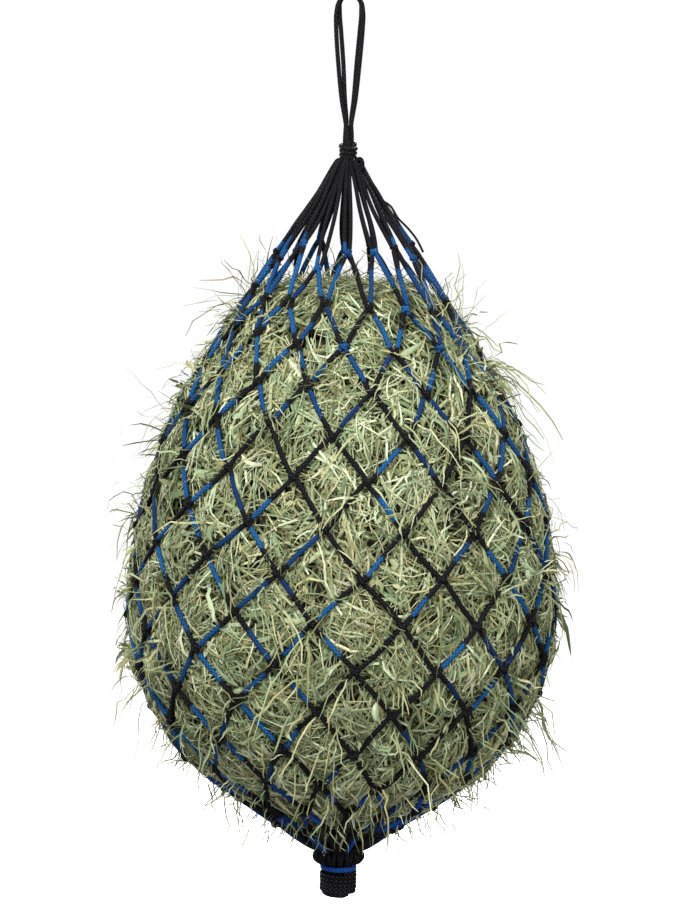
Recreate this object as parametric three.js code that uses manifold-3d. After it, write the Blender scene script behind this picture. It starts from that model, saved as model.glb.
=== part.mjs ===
// A filled hay net hanging from its doubled drawcord. Millimetres, +Z up.
// The origin is the inside top of the loop, where a hook bears.
import * as THREE from "three";
import Module from "manifold-3d";

const wasm = await Module();
wasm.setup();

// Cords
const STRAND_R = 2.25; // drawcord
const TWINE_R = 2.6; // net twine
const TIGHT_TWINE_R = 2.4; // the same twine where it is pulled tight towards a ring
const LOOSE_END_R = 1.5;

// Hanging loop and throat: two strands in each leg, four in the throat
const STRAND_OFFSET = 2.4;
const THROAT_TOP = -130.3;
const THROAT_BOTTOM = -142;

// Coil knot and drawn ring
const WRAP = { radius: 6.5, cord: 2.1, top: -148.1, pitch: 4.5, turns: 3 };
const DRAW_RING = { radius: 10, z: -165 };

// The net: a surface of revolution with one row of knots at each [radius, z] below
const COLUMNS = 16;
const ROWS = [
  [15, -166.5],
  [69, -257],
  [96, -298],
  [121, -335],
  [143, -372],
  [165, -412],
  [183, -455],
  [197, -499],
  [206, -543],
  [211, -588],
  [211.5, -632],
  [202.5, -677],
  [182, -721],
  [153, -762],
  [108, -798],
  [62, -828],
  [23, -850],
];
const LAST_ROW = ROWS.length - 1;
const ROW_STEP = 46; // usual distance between rows
const FIRST_COLUMN = 4.2; // degrees from the front, for the even rows
const TWIST_PER_ROW = 1; // degrees, above the widest row
const WIDEST_ROW = 9;
const SAG_FRONT = 0.075; // the rows hang lower at the front and at the right, as shares of the radius
const SAG_RIGHT = 0.07;
const HOOK_HALF = 4; // half width of the bight where two courses link
const HOOK_LIFT = 3; // how far each leg stands in or out from the surface where it links
const HOOK_DROP = 3; // how far a bight passes the middle of its knot

// Hay
const HAY_INSET = 9;
const HAY_TOP = [
  [0, -290],
  [46, -291],
  [74, -297],
];
const HAY_BOTTOM = -836;

// Bottom ring and the stub that hangs in it
const BOTTOM_RING = { radius: 18, cord: 8, z: -860 };
const STUB = { core: 14.5, top: -871, bottom: -902.5, neck: 7, head: 12 };
const WHIPPING = { radius: 17.1, cord: 1.9, top: -879.2, pitch: 4, turns: 5.4 };
const BLUE_TURN = { radius: 15.3, cord: 2.1, z: -874.7 };

const root = new THREE.Group();
const cordColor = 0x15161b;
const blueColor = 0x1a3f96;
const hayColor = 0x8b8a55;

function add(name, geometry, color = cordColor) {
  const mesh = new THREE.Mesh(geometry, new THREE.MeshStandardMaterial({ color, roughness: 0.8 }));
  mesh.name = name;
  root.add(mesh);
  return mesh;
}

// A cord's centreline: straight between the points, with each point hit exactly.
class CordRoute extends THREE.Curve {
  constructor(points, closed = false) {
    super();
    this.points = points;
    this.closed = closed;
  }

  corner(i) {
    const n = this.points.length;
    return this.points[this.closed ? ((i % n) + n) % n : Math.min(Math.max(i, 0), n - 1)];
  }

  getPoint(t, target = new THREE.Vector3()) {
    const spans = this.closed ? this.points.length : this.points.length - 1;
    const i = Math.floor(t * spans + 1e-9);
    return target.lerpVectors(this.corner(i), this.corner(i + 1), Math.max(t * spans - i, 0));
  }

  getPointAt(u, target) {
    return this.getPoint(u, target);
  }

  getTangentAt(u, target = new THREE.Vector3()) {
    const spans = this.closed ? this.points.length : this.points.length - 1;
    const i = Math.round(u * spans);
    const before = this.corner(i).clone().sub(this.corner(i - 1)).normalize();
    const after = this.corner(i + 1).clone().sub(this.corner(i)).normalize();
    return target.copy(before).add(after).normalize();
  }
}

function openCord(points, radius, sides) {
  const section = new THREE.Shape();
  for (let i = 0; i < sides; i++) {
    const angle = (i * 2 * Math.PI) / sides;
    const x = radius * Math.cos(angle);
    const y = radius * Math.sin(angle);
    if (i === 0) section.moveTo(x, y);
    else section.lineTo(x, y);
  }
  return new THREE.ExtrudeGeometry(section, {
    steps: points.length - 1,
    bevelEnabled: false,
    extrudePath: new CordRoute(points),
  });
}

function closedCord(points, radius, sides) {
  return new THREE.TubeGeometry(new CordRoute(points, true), points.length, radius, sides, true);
}

function cordCoil({ radius, cord, top, pitch, turns }, stepsPerTurn, sides) {
  const steps = Math.round(turns * stepsPerTurn);
  const points = [];
  for (let i = 0; i <= steps; i++) {
    const angle = (i * turns * 2 * Math.PI) / steps;
    const z = top - (pitch * turns * i) / steps;
    points.push(new THREE.Vector3(radius * Math.cos(angle), radius * Math.sin(angle), z));
  }
  return openCord(points, cord, sides);
}

function joined(geometries) {
  const solids = geometries.map((geometry) => {
    const source = geometry.index ? geometry.toNonIndexed() : geometry;
    const vertProperties = new Float32Array(source.getAttribute("position").array);
    const triVerts = Uint32Array.from({ length: vertProperties.length / 3 }, (_, i) => i);
    const soup = new wasm.Mesh({ numProp: 3, vertProperties, triVerts });
    soup.merge();
    return new wasm.Manifold(soup);
  });
  const mesh = wasm.Manifold.union(solids).getMesh();
  const geometry = new THREE.BufferGeometry();
  geometry.setAttribute("position", new THREE.BufferAttribute(mesh.vertProperties, 3));
  geometry.setIndex(new THREE.BufferAttribute(mesh.triVerts, 1));
  geometry.computeVertexNormals();
  return geometry;
}

const profile = new THREE.SplineCurve(ROWS.map(([r, z]) => new THREE.Vector2(r, z)));

// [radius, z] on the net's surface, moved outwards by lift.
function onProfile(row, lift) {
  const t = Math.min(Math.max(row / LAST_ROW, 0), 1);
  const point = profile.getPoint(t);
  const along = profile.getTangent(t);
  return [point.x - along.y * lift, point.y + along.x * lift];
}

// A point on the net. The angle runs from the front (-Y) towards the right (+X).
function onNet(row, angle, lift) {
  const ends = Math.min(1, row / 2, (LAST_ROW - row) / 2);
  const [radius] = onProfile(row, 0);
  const sag = radius * (SAG_FRONT * Math.cos(angle) + SAG_RIGHT * Math.sin(angle));
  const [r, z] = onProfile(row + (Math.max(ends, 0) * sag) / ROW_STEP, lift);
  return new THREE.Vector3(r * Math.sin(angle), -r * Math.cos(angle), z);
}

function knotAngle(row, column) {
  const turn = FIRST_COLUMN + TWIST_PER_ROW * Math.max(0, WIDEST_ROW - row);
  return THREE.MathUtils.degToRad(turn + ((column + (row % 2) / 2) * 360) / COLUMNS);
}

// The two points of a bight: it comes in on one side of the twine it hooks and leaves on the other.
function bight(row, angle, direction) {
  const [radius] = onProfile(row, 0);
  const half = HOOK_HALF / radius;
  const depth = row + (direction * HOOK_DROP) / ROW_STEP;
  const lift = direction * HOOK_LIFT;
  return [onNet(depth, angle - half, lift), onNet(depth, angle + half, -lift)];
}

function netCourse(row) {
  const points = [];
  for (let column = 0; column < COLUMNS; column++) {
    points.push(...bight(row, knotAngle(row, column), -1));
    points.push(...bight(row + 1, knotAngle(row + 1, column + (row % 2)), 1));
  }
  return closedCord(points, TWINE_R, 5);
}

// The first and last courses: bights whose ends run together on a ring.
function gatheredCourse(knotRow, ringRow) {
  const step = Math.PI / COLUMNS;
  const bights = [];
  for (let column = 0; column < COLUMNS; column++) {
    const angle = knotAngle(knotRow, column);
    const ends = [angle - step, angle + step].map((a) => onNet(ringRow, a, 0));
    const direction = knotRow > ringRow ? 1 : -1;
    bights.push(openCord([ends[0], ...bight(knotRow, angle, direction), ends[1]], TIGHT_TWINE_R, 5));
  }
  return joined(bights);
}

// One strand of the hanging loop: up one leg, over the hook and down the other.
function loopStrand(y) {
  const leg = [
    [2.4, -130],
    [2.9, -123],
    [5.6, -103],
    [8.6, -67],
    [11.3, -33],
    [12, -17],
    [10, -5],
  ];
  const right = leg.map(([x, z]) => new THREE.Vector3(x, y, z));
  const left = leg.map(([x, z]) => new THREE.Vector3(-x, y, z)).reverse();
  const top = new THREE.Vector3(0, y, STRAND_R);
  const curve = new THREE.CatmullRomCurve3([...right, top, ...left], false, "centripetal");
  return openCord(curve.getSpacedPoints(36), STRAND_R, 7);
}

add("hanging_loop_front", loopStrand(-STRAND_OFFSET));
add("hanging_loop_back", loopStrand(STRAND_OFFSET));

// The throat: four strands side by side, drawn as one four-lobed bundle.
const lobes = new THREE.Shape();
const lobeCentre = STRAND_R - 0.05;
const notch = Math.acos(lobeCentre / STRAND_R);
for (let i = 0; i < 4; i++) {
  const quarter = (i * Math.PI) / 2;
  const centre = new THREE.Vector2(lobeCentre, lobeCentre).rotateAround(new THREE.Vector2(), quarter);
  const start = quarter - Math.PI / 2 + notch;
  lobes.absarc(centre.x, centre.y, STRAND_R, start, start + 1.5 * Math.PI - 2 * notch);
}
const throat = new THREE.ExtrudeGeometry(lobes, {
  depth: THROAT_TOP - THROAT_BOTTOM,
  bevelEnabled: false,
  curveSegments: 6,
});
add("strand_bundle", throat).position.z = THROAT_BOTTOM;

add("neck_wrap", cordCoil(WRAP, 14, 6));
add("draw_ring", new THREE.TorusGeometry(DRAW_RING.radius, STRAND_R, 6, 20)).position.z = DRAW_RING.z;

add("neck_course", gatheredCourse(1, 0));
for (let row = 1; row < LAST_ROW - 1; row++) {
  add("net_course_" + String(row + 1).padStart(2, "0"), netCourse(row));
}
add("bottom_course", gatheredCourse(LAST_ROW - 1, LAST_ROW));

const looseEnd = [
  [43, -12, -208],
  [50, -13, -219],
  [60, -14, -229],
  [69, -15, -240],
  [76, -16, -253],
];
add("loose_end", openCord(looseEnd.map((p) => new THREE.Vector3(...p)), LOOSE_END_R, 6));

const haySide = [];
for (let row = 3; row < LAST_ROW; row++) haySide.push(onProfile(row, -HAY_INSET));
const hayOutline = [...HAY_TOP, [100, -315], ...haySide, [0, HAY_BOTTOM]];
const hayPoints = hayOutline.reverse().map(([r, z]) => new THREE.Vector2(r, z));
add("hay_fill", new THREE.LatheGeometry(hayPoints, 24).rotateX(Math.PI / 2), hayColor);

const bottomRing = new THREE.TorusGeometry(BOTTOM_RING.radius, BOTTOM_RING.cord, 9, 22);
add("bottom_ring", bottomRing).position.z = BOTTOM_RING.z;

// The stub's core: a head that rests over the ring, a neck through it and the whipped end below.
const coreOutline = [
  [0, STUB.bottom],
  [STUB.core - 3, STUB.bottom],
  [STUB.core, STUB.bottom + 2.5],
  [STUB.core, WHIPPING.top + 2],
  [STUB.core - 1.5, STUB.top - 5.5],
  [STUB.core - 1.5, STUB.top],
  [STUB.neck, STUB.top],
  [STUB.neck, BOTTOM_RING.z + 10],
  [STUB.head, BOTTOM_RING.z + 11.5],
  [STUB.head, BOTTOM_RING.z + 14.5],
  [0, BOTTOM_RING.z + 14.5],
];
const core = coreOutline.map(([r, z]) => new THREE.Vector2(r, z));
add("tail_core", new THREE.LatheGeometry(core, 20).rotateX(Math.PI / 2));
add("tail_whipping", cordCoil(WHIPPING, 14, 6));
const blueTurn = new THREE.TorusGeometry(BLUE_TURN.radius, BLUE_TURN.cord, 6, 22);
add("tail_blue_turn", blueTurn, blueColor).position.z = BLUE_TURN.z;

export default root;
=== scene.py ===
# A filled hay net, hanging from its doubled drawcord. Metres, +Z up, origin where a hook bears.
import math

import bpy
import numpy as np
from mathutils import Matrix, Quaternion, Vector


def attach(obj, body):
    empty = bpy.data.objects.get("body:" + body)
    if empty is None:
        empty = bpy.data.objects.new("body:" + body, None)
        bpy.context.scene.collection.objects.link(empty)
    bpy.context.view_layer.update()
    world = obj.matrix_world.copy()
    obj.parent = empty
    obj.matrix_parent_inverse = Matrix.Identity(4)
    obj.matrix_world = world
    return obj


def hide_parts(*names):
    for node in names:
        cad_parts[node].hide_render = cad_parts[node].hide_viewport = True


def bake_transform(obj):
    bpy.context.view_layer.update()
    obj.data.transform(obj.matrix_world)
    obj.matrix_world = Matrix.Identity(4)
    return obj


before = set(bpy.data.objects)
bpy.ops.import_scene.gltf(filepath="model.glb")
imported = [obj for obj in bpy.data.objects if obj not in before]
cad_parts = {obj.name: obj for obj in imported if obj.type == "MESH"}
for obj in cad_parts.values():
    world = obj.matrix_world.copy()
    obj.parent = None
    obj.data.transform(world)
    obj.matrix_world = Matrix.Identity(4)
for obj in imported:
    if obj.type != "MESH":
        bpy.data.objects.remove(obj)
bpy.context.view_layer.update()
scene = bpy.context.scene
MM = 0.001
TAU = 2 * math.pi

# ------------ sizes, as in the CAD part (mm)
STRAND_R = 2.25
TWINE_R = 2.6
STRAND_OFFSET = 2.4
COLUMNS = 16
ROWS = np.array([
    [15, -166.5], [69, -257], [96, -298], [121, -335], [143, -372], [165, -412],
    [183, -455], [197, -499], [206, -543], [211, -588], [211.5, -632], [202.5, -677],
    [182, -721], [153, -762], [108, -798], [62, -828], [23, -850],
], float)
LAST_ROW = len(ROWS) - 1
ROW_STEP = 46.0
FIRST_COLUMN = 4.2  # degrees
TWIST_PER_ROW = 1.0  # degrees
WIDEST_ROW = 9
SAG_FRONT = 0.075  # how much lower the front and the right hang, as a share of the radius
SAG_RIGHT = 0.07
RING_RADIUS = 18.0
RING_Z = -860.0

# ------------ camera
# A long lens far in front of the net and a little above its middle.
CAM_DISTANCE = 6.0
CAM_TILT = math.radians(5.5)
CAM_ROLL = math.radians(0.8)
FRAME_HEIGHT = 0.910
aim = Vector((0.0015, 0.0, -0.458))
camera = bpy.data.objects.new("camera", bpy.data.cameras.new("camera"))
scene.collection.objects.link(camera)
scene.camera = camera
camera.data.sensor_fit = "VERTICAL"
camera.data.sensor_height = 36
camera.data.lens = 36 * CAM_DISTANCE / FRAME_HEIGHT
camera.location = aim + CAM_DISTANCE * Vector((0, -math.cos(CAM_TILT), math.sin(CAM_TILT)))
camera.rotation_mode = "QUATERNION"
towards = (aim - camera.location).to_track_quat("-Z", "Y")
camera.rotation_quaternion = towards @ Quaternion((0, 0, 1), CAM_ROLL)
camera.data.clip_end = 50


# ------------ the net's surface
def on_profile(row, lift):
    """(radius, z) in mm at these rows of the net's outline, moved outwards by lift."""
    row = np.clip(np.asarray(row, float), 0, LAST_ROW)
    i = np.minimum(row.astype(int), LAST_ROW - 1)
    w = (row - i)[..., None]
    p0 = ROWS[np.maximum(i - 1, 0)]
    p1 = ROWS[i]
    p2 = ROWS[i + 1]
    p3 = ROWS[np.minimum(i + 2, LAST_ROW)]
    v0 = (p2 - p0) * 0.5
    v1 = (p3 - p1) * 0.5
    a = 2 * p1 - 2 * p2 + v0 + v1
    b = -3 * p1 + 3 * p2 - 2 * v0 - v1
    point = ((a * w + b) * w + v0) * w + p1
    along = (3 * a * w + 2 * b) * w + v0
    along /= np.linalg.norm(along, axis=-1, keepdims=True)
    lift = np.asarray(lift, float)
    return point[..., 0] - along[..., 1] * lift, point[..., 1] + along[..., 0] * lift


def on_net(row, angle, lift):
    """Points on the net in mm. The angle runs from the front (-Y) towards the right (+X)."""
    row, angle, lift = np.broadcast_arrays(*(np.asarray(x, float) for x in (row, angle, lift)))
    ends = np.clip(np.minimum(row / 2, (LAST_ROW - row) / 2), 0, 1)
    radius = on_profile(row, 0)[0]
    sag = radius * (SAG_FRONT * np.cos(angle) + SAG_RIGHT * np.sin(angle))
    r, z = on_profile(row + ends * sag / ROW_STEP, lift)
    return np.stack([r * np.sin(angle), -r * np.cos(angle), z], -1)


def first_angle(row):
    """Where column 0 lies, in radians, before the half step of the odd rows."""
    return np.radians(FIRST_COLUMN + TWIST_PER_ROW * np.maximum(0, WIDEST_ROW - row))


def unit(v):
    return v / np.maximum(np.linalg.norm(v, axis=-1, keepdims=True), 1e-12)


def surface_frame(row, angle):
    """East, up and outward directions on the net."""
    east = unit(on_net(row, angle + 1e-3, 0) - on_net(row, angle - 1e-3, 0))
    up = unit(on_net(row - 1e-2, angle, 0) - on_net(row + 1e-2, angle, 0))
    out = unit(np.cross(east, up))
    return east, unit(np.cross(out, east)), out


# ------------ mesh tools
def new_object(name, verts, faces):
    """verts in mm; faces an (n, 3) or (n, 4) array, or a list of such arrays."""
    groups = faces if isinstance(faces, list) else [faces]
    mesh = bpy.data.meshes.new(name)
    mesh.vertices.add(len(verts))
    mesh.vertices.foreach_set("co", (np.asarray(verts) * MM).astype(np.float32).ravel())
    sizes = np.concatenate([np.full(len(g), g.shape[1]) for g in groups])
    loops = np.concatenate([g.ravel() for g in groups])
    mesh.loops.add(len(loops))
    mesh.loops.foreach_set("vertex_index", loops.astype(np.int32))
    mesh.polygons.add(len(sizes))
    starts = np.concatenate([[0], np.cumsum(sizes)[:-1]])
    mesh.polygons.foreach_set("loop_start", starts.astype(np.int32))
    mesh.polygons.foreach_set("use_smooth", np.full(len(sizes), True))
    mesh.update(calc_edges=True)
    obj = bpy.data.objects.new(name, mesh)
    scene.collection.objects.link(obj)
    return obj


def point_attribute(obj, name, values):
    attribute = obj.data.attributes.new(name, "FLOAT", "POINT")
    attribute.data.foreach_set("value", np.asarray(values, np.float32).ravel())


def corner_vertices(mesh):
    """The vertex at each corner of each face."""
    index = np.zeros(len(mesh.loops), np.int32)
    mesh.loops.foreach_get("vertex_index", index)
    return index


def uv_layer(mesh, name, uv):
    mesh.uv_layers.new(name=name).data.foreach_set("uv", uv.astype(np.float32).ravel())


def cord_uv(mesh, along, sides):
    """Around a tube and along it. The last face of each ring runs on to 1."""
    index = corner_vertices(mesh)
    u = (index % sides) / sides
    quads = u[: len(u) // 4 * 4].reshape(-1, 4)
    wraps = quads.max(1) - quads.min(1) > 0.5
    quads[wraps] = np.where(quads[wraps] < 0.25, quads[wraps] + 1, quads[wraps])
    uv_layer(mesh, "Cord", np.stack([u, along[index]], 1))


def dress(obj, material, body=None, nodes=()):
    """Gives a piece its material and body, and says which nodes it replaces."""
    obj.data.materials.append(material)
    if nodes:
        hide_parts(*nodes)
    if body:
        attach(obj, body)
    return obj


def polar(radius, angle, z):
    """A point at an angle from +X."""
    return [radius * math.cos(angle), radius * math.sin(angle), z]


def polar_front(radius, angle, z):
    """A point at an angle from the front (-Y) towards the right (+X)."""
    return np.array([radius * math.sin(angle), -radius * math.cos(angle), z])


def smooth_route(points, steps=3, closed=False):
    """A centripetal curve through the points, and each result's place in the list of points."""
    p = np.asarray(points, float)
    if closed:
        p = np.concatenate([p[-1:], p, p[:2]])
    else:
        p = np.concatenate([2 * p[:1] - p[1:2], p, 2 * p[-1:] - p[-2:-1]])
    p0, p1, p2, p3 = p[:-3], p[1:-2], p[2:-1], p[3:]
    t1 = np.sqrt(np.linalg.norm(p1 - p0, axis=1))[:, None] + 1e-9
    t2 = t1 + np.sqrt(np.linalg.norm(p2 - p1, axis=1))[:, None] + 1e-9
    t3 = t2 + np.sqrt(np.linalg.norm(p3 - p2, axis=1))[:, None] + 1e-9
    rows = []

    def between(a, b, start, end):
        return (end - t) / (end - start) * a + (t - start) / (end - start) * b

    for k in range(steps):
        t = t1 + (t2 - t1) * k / steps
        middle = between(p1, p2, t1, t2)
        before = between(between(p0, p1, 0, t1), middle, 0, t2)
        after = between(middle, between(p2, p3, t2, t3), t1, t3)
        rows.append(between(before, after, t1, t2))
    line = np.stack(rows, 1).reshape(-1, 3)
    place = np.arange(len(line)) / steps
    if not closed:
        line = np.concatenate([line, p2[-1:]])
        place = np.append(place, len(points) - 1)
    return line, place


def grid_faces(rows, wide, rows_closed=False, closed=True):
    """Faces of a grid of points numbered row by row, joined round where it is closed."""
    i = np.arange(rows if rows_closed else rows - 1)[:, None]
    k = np.arange(wide if closed else wide - 1)[None]
    here, following, beside = i * wide, (i + 1) % rows * wide, (k + 1) % wide
    return np.stack([here + k, here + beside, following + beside, following + k],
                    -1).reshape(-1, 4)


class Tubes:
    """Cords gathered into one mesh, with the length along each and any per-point values."""

    def __init__(self, sides=8):
        self.sides = sides
        self.verts, self.quads, self.caps, self.v, self.values = [], [], [], [], {}
        self.count = 0

    def add(self, line, radius, closed=False, **values):
        line = np.asarray(line, float)
        n = len(line)
        if closed:
            tangent = unit(np.roll(line, -1, 0) - np.roll(line, 1, 0))
        else:
            tangent = unit(np.gradient(line, axis=0))
        normal = np.zeros_like(line)
        start = np.cross(tangent[0], [0, 0, 1.0])
        if np.linalg.norm(start) < 0.1:
            start = np.cross(tangent[0], [1.0, 0, 0])
        normal[0] = unit(start)
        for i in range(1, n):
            m = normal[i - 1] - np.dot(normal[i - 1], tangent[i]) * tangent[i]
            normal[i] = m / max(np.linalg.norm(m), 1e-9)
        spread = np.zeros(n)
        if closed:
            last = normal[-1] - np.dot(normal[-1], tangent[0]) * tangent[0]
            side = np.cross(tangent[0], normal[0])
            turn = math.atan2(np.dot(last, side), np.dot(last, normal[0]))
            spread = -turn * np.arange(n) / n
        other = np.cross(tangent, normal)
        ring = np.arange(self.sides) * TAU / self.sides
        a = ring[None, :] + spread[:, None]
        r = np.broadcast_to(np.asarray(radius, float), n)[:, None, None]
        shape = np.cos(a)[..., None] * normal[:, None] + np.sin(a)[..., None] * other[:, None]
        self.verts.append((line[:, None] + r * shape).reshape(-1, 3))
        s = self.sides
        self.quads.append(grid_faces(n, s, closed) + self.count)
        if not closed:
            self.caps.append(np.arange(s)[None, ::-1] + self.count)
            self.caps.append(np.arange(s)[None] + self.count + (n - 1) * s)
        length = np.concatenate([[0], np.cumsum(np.linalg.norm(np.diff(line, axis=0), axis=1))])
        self.v.append(np.repeat(length, s))
        for key, value in values.items():
            value = np.broadcast_to(np.asarray(value, float), n)
            self.values.setdefault(key, []).append(np.repeat(value, s))
        self.count += n * s

    def build(self, name, material, body=None, slot="net_twine", nodes=()):
        faces = [np.concatenate(self.quads)] + self.caps
        obj = new_object(name, np.concatenate(self.verts), faces)
        cord_uv(obj.data, np.concatenate(self.v), self.sides)
        for key, value in self.values.items():
            point_attribute(obj, key, np.concatenate(value))
        return dress(obj, material, body, nodes)


# ------------ materials
class Nodes:
    """A short way to write shader nodes."""

    def __init__(self, name):
        self.material = bpy.data.materials.new(name)
        self.material.use_nodes = True
        self.tree = self.material.node_tree
        self.tree.nodes.clear()
        self.shader = self.add("BsdfPrincipled")
        self.link(self.shader.outputs[0], self.add("OutputMaterial").inputs[0])

    def add(self, kind, **settings):
        node = self.tree.nodes.new("ShaderNode" + kind)
        for key, value in settings.items():
            setattr(node, key, value)
        return node

    def link(self, a, b):
        self.tree.links.new(a, b)

    def feed(self, sockets, values):
        """Numbers, colours or other nodes' outputs into sockets."""
        for socket, value in zip(sockets, values):
            if isinstance(value, (int, float)):
                socket.default_value = value
            elif isinstance(value, tuple):
                socket.default_value = (*value, 1)
            else:
                self.link(value, socket)

    def feed_named(self, node, **values):
        names = [name.replace("_", " ") for name in values]
        self.feed([node.inputs[name] for name in names], values.values())

    def math(self, operation, *values):
        node = self.add("Math", operation=operation)
        self.feed(node.inputs, values)
        return node.outputs[0]

    def attribute(self, name):
        return self.add("Attribute", attribute_name=name).outputs["Fac"]

    def noise(self, scale, detail, vector=None, roughness=0.5):
        node = self.add("TexNoise")
        if vector is None:
            vector = self.add("TexCoord").outputs["Object"]
        self.feed_named(node, Scale=scale, Detail=detail, Roughness=roughness, Vector=vector)
        return node.outputs["Fac"]

    def stretched(self, vector, scale):
        node = self.add("Mapping")
        node.inputs["Scale"].default_value = scale
        self.link(vector, node.inputs["Vector"])
        return node.outputs[0]

    def ramp(self, value, stops):
        node = self.add("ValToRGB")
        while len(node.color_ramp.elements) < len(stops):
            node.color_ramp.elements.new(0.5)
        for element, (place, color) in zip(node.color_ramp.elements, stops):
            element.position = place
            element.color = (*color, 1)
        self.link(value, node.inputs[0])
        return node.outputs[0]

    def mix(self, factor, a, b):
        node = self.add("Mix", data_type="RGBA")
        self.feed([node.inputs[i] for i in (0, 6, 7)], (factor, a, b))
        return node.outputs[2]

    def bump(self, height, distance, strength):
        node = self.add("Bump")
        self.feed_named(node, Distance=distance, Strength=strength, Height=height)
        self.link(node.outputs[0], self.shader.inputs["Normal"])

    def surface(self, color, roughness, specular=0.5):
        self.feed_named(self.shader, Base_Color=color, Roughness=roughness,
                        Specular_IOR_Level=specular)
        return self.material


BLACK = (0.0012, 0.0012, 0.0020)
# The colour of the black braid's ridge tops: partly worn fibre, partly painted sheen.
BLACK_WORN_AND_SHEEN = (0.050, 0.050, 0.058)
NAVY = (0.004, 0.018, 0.084)
# Lighter blues for the painted highlight on the braid's peaks.
BLUE = (0.004, 0.068, 0.235)
AZURE_HIGHLIGHT = (0.026, 0.170, 0.345)
ROYAL = (0.004, 0.056, 0.350)
ROYAL_HIGHLIGHT = (0.032, 0.150, 0.560)


def cord_material(name, strands, pitch, dyed, worn_and_sheen=BLACK_WORN_AND_SHEEN, fresh=BLUE, highlight_blue=AZURE_HIGHLIGHT):
    """Round braid: two sets of strands that cross, dyed along the cord by the attribute dye. Ridge
    tops get a lighter colour that is partly wear and partly painted sheen; the blue gets painted
    shade in the grooves and a painted highlight on the peaks.
    """
    n = Nodes(name)
    split = n.add("SeparateXYZ")
    n.link(n.add("UVMap", uv_map="Cord").outputs[0], split.inputs[0])
    around = n.math("MULTIPLY", split.outputs[0], strands)
    along = n.math("DIVIDE", split.outputs[1], pitch)
    waves = []
    for operation in ("ADD", "SUBTRACT"):
        phase = n.math("MULTIPLY", n.math(operation, around, along), TAU)
        waves.append(n.math("MULTIPLY_ADD", n.math("SINE", phase), 0.5, 0.5))
    braid = n.math("POWER", n.math("MULTIPLY", *waves), 0.95)
    fuzz = n.noise(900, 3)
    wear = n.noise(55, 3)
    # Painted sheen, partly real wear: the braid's ridge tops are lighter, patchy with the wear
    # noise, and the grooves stay black.
    sheen_ridges = n.math("POWER", braid, 2.1)
    color = n.mix(n.math("MULTIPLY", n.math("MULTIPLY", sheen_ridges, wear), 0.9), BLACK, worn_and_sheen)
    if dyed:
        ragged = n.math("MULTIPLY", n.math("SUBTRACT", n.noise(420, 2), 0.5), 0.5)
        dye = n.math("ADD", n.attribute("dye"), ragged)
        depth = n.attribute("depth")
        blue = n.mix(depth, NAVY, fresh)
        # Painted shade: the blue turns darker, towards black, in the braid's grooves.
        blue = n.mix(braid, n.mix(0.45, blue, BLACK), blue)
        # Painted highlight: a lighter blue on the braid's peaks, patchy with the wear noise and
        # stronger where the dye is deeper.
        peak_highlight = n.math("MULTIPLY", n.math("MULTIPLY", depth, wear), braid)
        blue = n.mix(n.math("MULTIPLY", peak_highlight, 1.2), blue, highlight_blue)
        color = n.mix(n.ramp(dye, [(0.36, (0, 0, 0)), (0.66, (1, 1, 1))]), color, blue)
    lint = n.mix(0.12, color, (0.07, 0.07, 0.09))
    color = n.mix(n.math("MULTIPLY", fuzz, 0.25), color, lint)
    n.bump(n.math("ADD", braid, n.math("MULTIPLY", fuzz, 0.25)), 0.0007, 0.9)
    roughness = n.ramp(braid, [(0.0, (0.85,) * 3), (1.0, (0.50,) * 3)])
    return n.surface(color, roughness, 0.09)


drawcord_mat = cord_material("drawcord_braid", 4, 5.0, False)
twine_mat = cord_material("net_twine_braid", 4, 4.6, True)
foot_mat = cord_material("foot_twine_braid", 4, 4.6, True, BLACK_WORN_AND_SHEEN, ROYAL, ROYAL_HIGHLIGHT)
blue_mat = cord_material("blue_twine_braid", 3, 3.4, True, BLACK_WORN_AND_SHEEN, ROYAL, ROYAL_HIGHLIGHT)
# The whipping's ridge tops get a lighter colour, partly wear and partly painted sheen.
whipping_mat = cord_material("whipping_braid", 2, 4.4, False, (0.100, 0.100, 0.116))


# ------------ hanging loop (free cords)
LOOP_LEG = [[2.4, -130], [2.9, -123], [5.6, -103], [8.6, -67], [11.3, -33], [12, -17], [10, -5]]
LEAN_LEFT, LEAN_RIGHT = 2.6, 1.5  # how far the strands lie aside in the two legs
LOOP_TOP, LOOP_FOOT = -4.0, -130.0


def loop_route(front):
    """The front (1) or back (-1) strand of the loop. They lie side by side in the legs."""
    y = -STRAND_OFFSET * front
    legs = []
    for side, lean in ((1, LEAN_RIGHT * front), (-1, -LEAN_LEFT * front)):
        leg = []
        for x, z in LOOP_LEG:
            down = min(1, max(0, (LOOP_TOP - z) / (LOOP_TOP - LOOP_FOOT)))
            share = math.sin(math.pi * down ** 0.75) ** 0.7
            leg.append([side * x + lean * share, y * (1 - 0.25 * share), z])
        legs.append(leg)
    return smooth_route(legs[0] + [[0, y, STRAND_R]] + legs[1][::-1], 6)[0]


for name, front in (("front", 1), ("back", -1)):
    route = loop_route(front)
    tube = Tubes(12)
    tube.add(route, STRAND_R)
    cord = tube.build(f"loop_cord_{name}", drawcord_mat, slot="drawcord",
                      nodes=[f"hanging_loop_{name}"])
    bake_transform(cord)

# Loose end of thin twine beside the neck
LOOSE_END = [[34, -9, -202], [43, -12, -208], [50, -13, -219], [60, -14, -229], [69, -15, -240],
             [76, -16, -253]]
LOOSE_END_R = 1.2
route = smooth_route(LOOSE_END, 5)[0]
tube = Tubes(8)
tube.add(route, LOOSE_END_R, dye=0.0, depth=0.5)
loose = tube.build("loose_twine_end", twine_mat, slot="net_twine", nodes=["loose_end"])
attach(loose, "net")


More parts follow.
